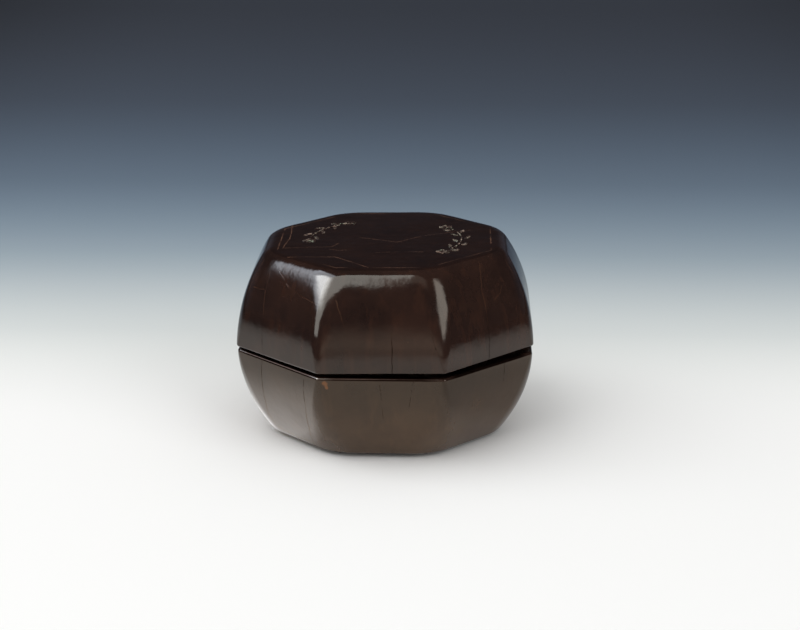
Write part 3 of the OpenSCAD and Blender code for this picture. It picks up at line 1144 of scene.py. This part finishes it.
def crack_mask(tree, place, cracks):
    """Every crack of a list, as one mask."""
    mask = 0.0
    for facet, width, points in cracks:
        ends = [(along * mm, height * mm, facet) for along, height in points]
        for start, end in zip(ends, ends[1:]):
            values = {"Place": place, "From": start, "To": end, "Width": width * mm}
            mask = maths(tree, "MAXIMUM", use_group(tree, hairline, values)["Mask"], mask)
    return mask


print("marks are drawn with", hairline.name)

# %% Body of the lacquer
# Each list of browns is a deep one, a warm one and that of the streaks.
lid_browns = [(0.015, 0.0082, 0.0070, 1), (0.029, 0.0142, 0.0105, 1), (0.044, 0.019, 0.012, 1)]
base_browns = [(0.027, 0.0150, 0.0085, 1), (0.042, 0.0240, 0.0135, 1), (0.054, 0.0290, 0.015, 1)]
cloud_size = 13 * mm
cloud_range = (0.36, 0.7)
streak_stretch = (1.0, 1.0, 0.10)
streak_size = 2.6 * mm
streak_range = (0.52, 0.78)
streak_cover = 0.6
shake_size = 2.2 * mm
shake_reach = 0.6 * mm
shake_middle = (0.5, 0.5, 0.5)


def lacquer_body(tree, place, browns):
    """The lacquer's own colour: clouds of two browns with upright streaks of a third."""
    deep, warm, streak = browns
    cloudy = spread(tree, noise(tree, place, cloud_size, detail=5, roughness=0.6), *cloud_range)
    upright = vector_maths(tree, "MULTIPLY", place, streak_stretch)
    streaky = spread(tree, noise(tree, upright, streak_size, detail=4, roughness=0.6), *streak_range)
    body = blend(tree, cloudy, deep, warm)
    return blend(tree, times(tree, streaky, streak_cover), body, streak)


def shaken(tree, place, marks):
    """Moves marks about a little, so that no crack is quite straight."""
    shake = noise(tree, place, shake_size, detail=3, result="Color")
    shake = vector_maths(tree, "SUBTRACT", shake, shake_middle)
    return vector_maths(tree, "ADD", marks, vector_maths(tree, "SCALE", shake, shake_reach))


def measure_from(tree, origin, lean=0.0):
    """Places on a piece as if it stood level, measured from an origin."""
    level = tree.nodes.new("ShaderNodeMapping")
    level.vector_type = "TEXTURE"
    level.inputs["Location"].default_value = origin
    level.inputs["Rotation"].default_value = (0, -lean, 0)
    tree.links.new(object_place(tree), level.inputs["Vector"])
    return level.outputs["Vector"]


print("clouds of", cloud_size / mm, "mm and streaks of", streak_size / mm, "mm")

# %% Finish of the lacquer
# A cover is how far a mark hides the lacquer's own colour, and a dullness is added to the roughness.
worn_brown = (0.075, 0.040, 0.024, 1)
crack_red = (0.075, 0.034, 0.019, 1)
crack_pale = (0.170, 0.085, 0.052, 1)
crack_dark = (0.010, 0.006, 0.004, 1)
break_size = 5 * mm
break_range = (0.36, 0.56)
broken_share = 0.25
worn_cover = 0.65
worn_dullness = 0.15
crack_cover = 0.8
crack_dullness = 0.12
crack_relief = 0.1
dust_spacing = 3.2 * mm
dust_share = 0.16
dust_size = 0.22 * mm
dust_cover = 0.5
lacquer_roughness = (0.07, 0.17)
wave_relief = 0.5
lacquer_relief = 0.06 * mm


def finish_lacquer(tree, shader, place, body, worn, cracked, crack_tone, dark):
    """Lays wear and cracks over the lacquer's colour and sets its gloss and its relief. A dark place
    mirrors little, as a black metal does, so Metallic carries it."""
    feed(tree, shader.inputs["Metallic"], dark)
    patchy = spread(tree, noise(tree, place, break_size, detail=3), *break_range, broken_share, 1.0)
    cracked = times(tree, cracked, patchy)
    dusty = speckle(tree, place, dust_spacing, dust_share, dust_size)
    body = blend(tree, times(tree, worn, worn_cover), body, worn_brown)
    body = blend(tree, times(tree, dusty, dust_cover), body, worn_brown)
    body = blend(tree, times(tree, cracked, crack_cover), body, crack_tone)
    feed(tree, shader.inputs["Base Color"], body)
    polished = use_group(tree, polish, {"Vector": place})
    dull = maths(tree, "ADD", times(tree, worn, worn_dullness), times(tree, cracked, crack_dullness))
    dull = maths(tree, "ADD", dull, spread(tree, polished["Haze"], 0.0, 1.0, *lacquer_roughness))
    feed(tree, shader.inputs["Roughness"], dull)
    waves = times(tree, polished["Wave"], wave_relief)
    height = maths(tree, "SUBTRACT", waves, times(tree, cracked, crack_relief))
    bump(tree, shader, height, lacquer_relief)


print("lacquer helpers are ready")

# %% [markdown]
# ## Lacquer on the lid
# The lid leans, so a Mapping node first lays its measure level: height 0 is then its lower lip. The lid has
# two finishes of the same lacquer, one for its facets and one for its flat top, because each has its own
# marks and one tree that draws them all would be too large. Cracks show red where the lid mirrors nothing and
# dark near its pale lower part. On top, a broken reddish line follows the joint of the board that is let in
# between the staves.
# The top is painted darker than the facets, as shade.

# %% Lacquer of the lid's facets
lid_ior = 1.47
lid_tint = (1.0, 0.93, 0.83, 1)
pale_part = (6 * mm, 13 * mm)
crack_darkness = 0.9
lip_wear = 0.4 * mm

lid_lacquer, tree, shader = new_material("lid_lacquer", lid_ior)
shader.inputs["Specular Tint"].default_value = lid_tint
place = measure_from(tree, seam_middle, lid_lean)
facet = use_group(tree, facet_place, {"Vector": place})
z = split(tree, place)["Z"]
cracked = crack_mask(tree, shaken(tree, place, facet["Place"]), lid_cracks)
crack_tone = blend(tree, spread(tree, z, *pale_part), crack_dark, crack_red)
dark = times(tree, cracked, spread(tree, z, *pale_part, crack_darkness, 0.0))
worn = wear(tree, place, z, lip_wear)
body = lacquer_body(tree, place, lid_browns)
finish_lacquer(tree, shader, place, body, worn, cracked, crack_tone, dark)
lid_skin.data.materials.append(lid_lacquer)
print(lid_lacquer.name, "has", len(tree.nodes), "nodes")

# %% Lacquer of the lid's top
board_joint = 27.2 * mm
joint_width = 0.2 * mm
joint_core = 0.4 * joint_width
open_size = 9 * mm
open_range = (0.44, 0.58)
# Painted shade: a darker brown makes up half of the top's colour.
top_painted_shade = (0.008, 0.0035, 0.003, 1)
top_shade_share = 0.5

top_lacquer, tree, shader = new_material("top_lacquer", lid_ior)
shader.inputs["Specular Tint"].default_value = lid_tint
place = measure_from(tree, seam_middle, lid_lean)
facet = use_group(tree, facet_place, {"Vector": place})
flat = split(tree, place)
top_marks = shaken(tree, place, together(tree, flat["X"], flat["Y"], float(top_face)))
cracked = crack_mask(tree, top_marks, top_cracks)
joint_miss = maths(tree, "ABSOLUTE", maths(tree, "SUBTRACT", facet["Out"], board_joint))
jointed = spread(tree, joint_miss, joint_core, joint_width, 1.0, 0.0)
open_part = spread(tree, noise(tree, place, open_size, detail=3), *open_range)
cracked = maths(tree, "MAXIMUM", cracked, times(tree, jointed, open_part))
# Painted shade: half of the top's colour is a darker brown, so the top is darker than the facets.
body = blend(tree, top_shade_share, lacquer_body(tree, place, lid_browns), top_painted_shade)
finish_lacquer(tree, shader, place, body, 0.0, cracked, crack_pale, 0.0)
lid_skin.data.materials.append(top_lacquer)
print(top_lacquer.name, "has", len(tree.nodes), "nodes")

# %% Put the top's lacquer on the top
flat_limit = lid_height - 0.3 * mm
lid_up = Vector((-math.sin(lid_lean), 0, math.cos(lid_lean)))

edit_piece(lid_skin)
bpy.ops.mesh.select_mode(type="FACE")
shape = bmesh.from_edit_mesh(lid_skin.data)
for face in shape.faces:
    face.select = (face.calc_center_median() - seam_middle).dot(lid_up) > flat_limit
bmesh.update_edit_mesh(lid_skin.data)
print(sum(face.select for face in shape.faces), "faces of the lid's skin are its top")
lid_skin.active_material_index = 1
bpy.ops.object.material_slot_assign()
bpy.ops.object.mode_set(mode="OBJECT")

# %% [markdown]
# ## Lacquer on the base
# The base is browner than the lid. Its colour is painted lighter towards the foot and darker towards the
# seam, as painted light and shade, and the ledge inside the seam is painted nearly black as shade. Its lip is
# a dull, reddish brown that glints only by the corners. Beside the front-left corner a flake has come off and
# shows the orange ground under the lacquer. The flake could be cut into the mesh, but it is as thin as paint,
# so it is a short, wide line in the same measure as the cracks.

# %% Lacquer of the base
base_ior = 1.53
base_tint = (1.0, 0.85, 0.71, 1)
# Painted light and shade: the colour is scaled lighter towards the foot and darker towards the seam.
base_light_fade = (3 * mm, 20 * mm)
foot_painted_light = 1.65
seam_painted_shade = 0.65
ground_orange = (0.13, 0.050, 0.017, 1)
flake = [(6, 0.75, [(-13.9, 21.3), (-13.6, 21.0)]), (6, 0.5, [(-13.6, 21.0), (-13.3, 20.1)])]
lip_brown = (0.022, 0.011, 0.008, 1)
lip_start = (base_height - 0.85 * mm, base_height - 0.65 * mm)
lip_darkness = 0.8
glint_end = (1.5 * mm, 4 * mm)
# Painted shade: the ledge inside the seam is painted nearly black.
ledge_painted_shade = (0.006, 0.003, 0.0025, 1)
ledge_shade_start = (base_height - 0.2 * mm, base_height - 0.05 * mm)
foot_wear_reach = 0.9 * mm

base_lacquer, tree, shader = new_material("base_lacquer", base_ior)
shader.inputs["Specular Tint"].default_value = base_tint
place = measure_from(tree, (0, 0, ring_height))
facet = use_group(tree, facet_place, {"Vector": place})
z = split(tree, place)["Z"]
marks = shaken(tree, place, facet["Place"])
cracked = crack_mask(tree, marks, base_cracks)
body = lacquer_body(tree, place, base_browns)
# Painted light and shade: the lacquer's colour is lighter towards the foot and darker towards the seam.
body = vector_maths(tree, "SCALE", body, spread(tree, z, *base_light_fade, foot_painted_light, seam_painted_shade))
body = blend(tree, crack_mask(tree, marks, flake), body, ground_orange)
lip = spread(tree, z, *lip_start)
body = blend(tree, lip, body, lip_brown)
# Painted shade: the ledge inside the seam is painted nearly black.
body = blend(tree, spread(tree, z, *ledge_shade_start), body, ledge_painted_shade)
dull_lip = times(tree, lip, spread(tree, facet["Ridge"], *glint_end, 0.0, lip_darkness))
dark = maths(tree, "MAXIMUM", times(tree, cracked, crack_darkness), dull_lip)
worn = wear(tree, place, z, foot_wear_reach)
finish_lacquer(tree, shader, place, body, worn, cracked, crack_dark, dark)
base_skin.data.materials.append(base_lacquer)
print(base_lacquer.name, "has", len(tree.nodes), "nodes")

# %% [markdown]
# ## Black lacquer
# Inside, the box is lined with plain black lacquer, and the collar, the underside and the foot ring have it
# too. A flat black would do in the dark seam, but it looks like plastic once the lid is off. Here brush
# marks run round it, rubbing has left haze, and a little dust lies on it.

# %% Black lacquer of the linings, collar and underside
black = (0.008, 0.0065, 0.006, 1)
faded_black = (0.022, 0.015, 0.012, 1)
fade_size = 10 * mm
fade_range = (0.4, 0.7)
dust_grey = (0.10, 0.09, 0.08, 1)
lining_roughness = (0.16, 0.34)
brush_stretch = (1.0, 1.0, 6.0)
brush_size = 3 * mm
brush_relief = 0.03 * mm

black_lacquer, tree, shader = new_material("lining_lacquer", base_ior)
place = object_place(tree)
polished = use_group(tree, polish, {"Vector": place})
dusty = speckle(tree, place, spacing=2.2 * mm, share=0.25, size=0.2 * mm)
faded = spread(tree, noise(tree, place, fade_size, detail=4), *fade_range)
tone = blend(tree, faded, black, faded_black)
tone = blend(tree, times(tree, dusty, dust_cover), tone, dust_grey)
feed(tree, shader.inputs["Base Color"], tone)
feed(tree, shader.inputs["Roughness"], spread(tree, polished["Haze"], 0.0, 1.0, *lining_roughness))
brushed = noise(tree, vector_maths(tree, "MULTIPLY", place, brush_stretch), brush_size, detail=3)
bump(tree, shader, maths(tree, "ADD", brushed, polished["Wave"]), brush_relief)
collar.data.materials.append(black_lacquer)
print(black_lacquer.name, "has", len(tree.nodes), "nodes")

# %% [markdown]
# ## Cedar
# The core is eight staves of pale, straight-grained wood and a board in the lid, and the same in the base.
# It shows only where lacquer is worn off at the foot, and dirt has darkened it there. One grain through the
# whole box would be simpler, but real staves don't match. So the grain of a stave runs up the box and that
# of a board across it, and every stave gets its own stretch of grain, from the number of its place round
# the box, so that the grain breaks at each joint.

# %% Cedar of the staves and the boards
early_wood = (0.42, 0.25, 0.13, 1)
late_wood = (0.24, 0.115, 0.05, 1)
pore_brown = (0.10, 0.045, 0.02, 1)
pore_cover = 0.6
dirt_brown = (0.030, 0.017, 0.010, 1)
dirt_end = (ring_height + 0.5 * mm, ring_height + 2 * mm)
dirt_cover = 0.95
dirt_size = 4 * mm
dirt_range = (0.3, 0.6)
thinnest_dirt = 0.75
stave_shift = (17 * mm, 31 * mm, 53 * mm)
wood_ior = 1.45
wood_roughness = (0.68, 0.5)
wood_relief = 0.05 * mm


def cedar(name, lying):
    """Wood with its grain upright, or lying along X."""
    material, tree, shader = new_material(name, wood_ior)
    place = object_place(tree)
    x, y, z = split(tree, place)
    uneven = spread(tree, noise(tree, place, dirt_size, detail=4), *dirt_range, thinnest_dirt, 1.0)
    dirty = times(tree, spread(tree, z, *dirt_end, dirt_cover, 0.0), uneven)
    if lying:
        tipped = tree.nodes.new("ShaderNodeMapping")
        tipped.inputs["Rotation"].default_value = (0, quarter, 0)
        tree.links.new(place, tipped.inputs["Vector"])
        place = tipped.outputs["Vector"]
    else:
        stave = maths(tree, "FLOOR", maths(tree, "DIVIDE", maths(tree, "ARCTAN2", y, x), turn))
        place = vector_maths(tree, "ADD", place, vector_maths(tree, "SCALE", stave_shift, stave))
    grown = use_group(tree, grain, {"Vector": place})
    tone = blend(tree, grown["Rings"], early_wood, late_wood)
    tone = blend(tree, times(tree, grown["Pores"], pore_cover), tone, pore_brown)
    tone = blend(tree, dirty, tone, dirt_brown)
    feed(tree, shader.inputs["Base Color"], tone)
    feed(tree, shader.inputs["Roughness"], spread(tree, grown["Rings"], 0.0, 1.0, *wood_roughness))
    bump(tree, shader, maths(tree, "SUBTRACT", grown["Rings"], grown["Pores"]), wood_relief)
    return material


stave_cedar = cedar("stave_cedar", lying=False)
board_cedar = cedar("board_cedar", lying=True)
print(stave_cedar.name, "and", board_cedar.name, "are ready")

# %% [markdown]
# ## Porcelain
# The dish has a clear, faintly blue glaze with pinholes. Its foot ring is left unglazed, because it stood
# on the kiln shelf, and is buff and rough. Above the cake of paste, red oil has stained the wall in places.
# Each could be a material of its own on its own faces, but they end unevenly, so they are masks in one
# material, and the wear group gives them their ragged ends.

# %% Porcelain of the dish
glaze_white = (0.72, 0.75, 0.74, 1)
glaze_pool = (0.58, 0.65, 0.66, 1)
pool_size = 7 * mm
pool_range = (0.4, 0.7)
pinhole_cover = 0.8
bare_clay = (0.52, 0.41, 0.30, 1)
bare_reach = 0.9 * mm
bare_dullness = 0.5
oil_red = (0.42, 0.055, 0.025, 1)
oil_reach = 2.6 * mm
oil_cover = 0.75
inner_wall = dish_radius - 0.6 * dish_depth
glaze_ior = 1.5
glaze_roughness = (0.06, 0.16)
glaze_relief = 0.04 * mm

porcelain, tree, shader = new_material("porcelain", glaze_ior)
place = object_place(tree)
x, y, z = split(tree, place)
pooled = spread(tree, noise(tree, place, pool_size, detail=3), *pool_range)
pinholes = speckle(tree, place, spacing=2.8 * mm, share=0.12, size=0.18 * mm)
bare = wear(tree, place, maths(tree, "SUBTRACT", z, dish_low), bare_reach)
from_axis = vector_maths(tree, "LENGTH", together(tree, x, y, 0.0), result="Value")
inside = maths(tree, "LESS_THAN", from_axis, inner_wall)
stained = wear(tree, place, maths(tree, "SUBTRACT", z, paste_level), oil_reach)
stained = times(tree, stained, inside)
tone = blend(tree, pooled, glaze_white, glaze_pool)
tone = blend(tree, times(tree, pinholes, pinhole_cover), tone, bare_clay)
tone = blend(tree, times(tree, stained, oil_cover), tone, oil_red)
tone = blend(tree, bare, tone, bare_clay)
feed(tree, shader.inputs["Base Color"], tone)
polished = use_group(tree, polish, {"Vector": place})
dull = spread(tree, polished["Haze"], 0.0, 1.0, *glaze_roughness)
feed(tree, shader.inputs["Roughness"], maths(tree, "ADD", dull, times(tree, bare, bare_dullness)))
bump(tree, shader, maths(tree, "SUBTRACT", polished["Wave"], pinholes), glaze_relief)
dish.data.materials.append(porcelain)
print(porcelain.name, "has", len(tree.nodes), "nodes")

# %% [markdown]
# ## Vermilion paste
# The paste is finely ground red pigment in oil, held together by silky plant fibre. Its red is mottled, and
# its hollows and the pits of its grit are painted darker as shade. It has an oily film in places and short
# fibres that stand out as fine ridges. Light under the surface could soften it, as in wax, but the pigment
# is opaque. So colour and relief carry it, and a patchy coat is the film of oil.

# %% Vermilion of the paste
bright_red = (0.56, 0.038, 0.014, 1)
# The darker red is painted shade in the hollows and in the pits of the grit.
hollow_shade_red = (0.27, 0.014, 0.007, 1)
mottle_size = 4 * mm
mottle_range = (0.36, 0.66)
mottle_relief = 0.6
fibre_red = (0.68, 0.10, 0.045, 1)
fibre_bend_size = 3 * mm
fibre_bend_reach = 6 * mm
fibre_stretch = (1.0, 0.12, 1.0)
fibre_size = 0.45 * mm
fibre_range = (0.58, 0.7)
fibre_cover = 0.5
fibre_relief = 0.4
grit_cover = 0.5
film_size = 6 * mm
film_range = (0.5, 0.7)
film_weight = 0.6
film_roughness = 0.2
paste_ior = 1.48
paste_roughness = (0.36, 0.58)
paste_relief = 0.15 * mm

vermilion, tree, shader = new_material("vermilion", paste_ior)
shader.inputs["Coat Roughness"].default_value = film_roughness
place = object_place(tree)
mottled = spread(tree, noise(tree, place, mottle_size, detail=5, roughness=0.62), *mottle_range)
bent = noise(tree, place, fibre_bend_size, detail=2, result="Color")
bent = vector_maths(tree, "ADD", place, vector_maths(tree, "SCALE", bent, fibre_bend_reach))
fibre_place = vector_maths(tree, "MULTIPLY", bent, fibre_stretch)
fibres = spread(tree, noise(tree, fibre_place, fibre_size, detail=2), *fibre_range)
grit = speckle(tree, place, spacing=0.9 * mm, share=0.3, size=0.22 * mm)
# Painted shade: the mottled red is darker where the relief is low.
tone = blend(tree, mottled, hollow_shade_red, bright_red)
tone = blend(tree, times(tree, fibres, fibre_cover), tone, fibre_red)
# Painted shade: the pits of the grit are painted darker.
tone = blend(tree, times(tree, grit, grit_cover), tone, hollow_shade_red)
feed(tree, shader.inputs["Base Color"], tone)
feed(tree, shader.inputs["Roughness"], spread(tree, mottled, 0.0, 1.0, *paste_roughness))
filmy = noise(tree, place, film_size, detail=2)
feed(tree, shader.inputs["Coat Weight"], spread(tree, filmy, *film_range, 0.0, film_weight))
relief = maths(tree, "ADD", times(tree, mottled, mottle_relief), times(tree, fibres, fibre_relief))
bump(tree, shader, maths(tree, "SUBTRACT", relief, grit), paste_relief)
paste.data.materials.append(vermilion)
print(vermilion.name, "has", len(tree.nodes), "nodes")

# %% [markdown]
# ## Shell inlay
# The sprays on the top are thin pieces of shell, laid flush in the lacquer. Shell shimmers from white to
# rose and green within a few millimetres, and this inlay is old: lacquer has crept over parts of it, and
# other parts are rubbed dull. A shimmer that follows the eye could be had from a thin film, but so worn a
# shell hardly has one. Two layers of noise, stretched different ways, give its colours.

# %% Pearl of the inlay
shell_white = (0.36, 0.31, 0.25, 1)
shell_rose = (0.34, 0.23, 0.18, 1)
shell_green = (0.25, 0.27, 0.20, 1)
rose_stretch = (1.0, 2.5, 1.0)
rose_size = 2.6 * mm
rose_range = (0.4, 0.6)
green_stretch = (2.2, 1.0, 1.0)
green_size = 3.4 * mm
green_range = (0.5, 0.66)
lost_size = 1.3 * mm
lost_range = (0.43, 0.52)
shell_ior = 1.6
shell_roughness = (0.15, 0.4)
shell_relief = 0.03 * mm

pearl, tree, shader = new_material("pearl", shell_ior)
place = object_place(tree)
layered = noise(tree, vector_maths(tree, "MULTIPLY", place, rose_stretch), rose_size, detail=3)
other_layer = noise(tree, vector_maths(tree, "MULTIPLY", place, green_stretch), green_size, detail=2)
tone = blend(tree, spread(tree, layered, *rose_range), shell_rose, shell_white)
tone = blend(tree, spread(tree, other_layer, *green_range), tone, shell_green)
lost = spread(tree, noise(tree, place, lost_size, detail=5, roughness=0.65), *lost_range)
tone = blend(tree, lost, tone, lid_browns[1])
feed(tree, shader.inputs["Base Color"], tone)
scratched = use_group(tree, polish, {"Vector": place})["Haze"]
feed(tree, shader.inputs["Roughness"], spread(tree, scratched, 0.0, 1.0, *shell_roughness))
bump(tree, shader, maths(tree, "SUBTRACT", layered, lost), shell_relief)
print(pearl.name, "has", len(tree.nodes), "nodes")

# %% [markdown]
# ## Dress the measured pieces
# The core, the linings, the underside, the foot ring and the inlay already have their right shape in the
# measured model. They could be modelled again, but that would add nothing, so they stay as they are and only
# get their finish.

# %% Give the measured pieces their finishes
finishes = {
    "base_lining": black_lacquer,
    "lid_lining": black_lacquer,
    "underside_coat": black_lacquer,
    "foot_ring": black_lacquer,
    "base_floor_board": board_cedar,
    "lid_top_board": board_cedar,
    "shell_inlay": pearl,
}
for stave in range(1, sides + 1):
    finishes[f"base_stave_{stave}"] = stave_cedar
    finishes[f"lid_stave_{stave}"] = stave_cedar
for node, finish in finishes.items():
    for material_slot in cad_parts[node].material_slots:
        material_slot.material = finish
print(len(finishes), "measured pieces have their finish")
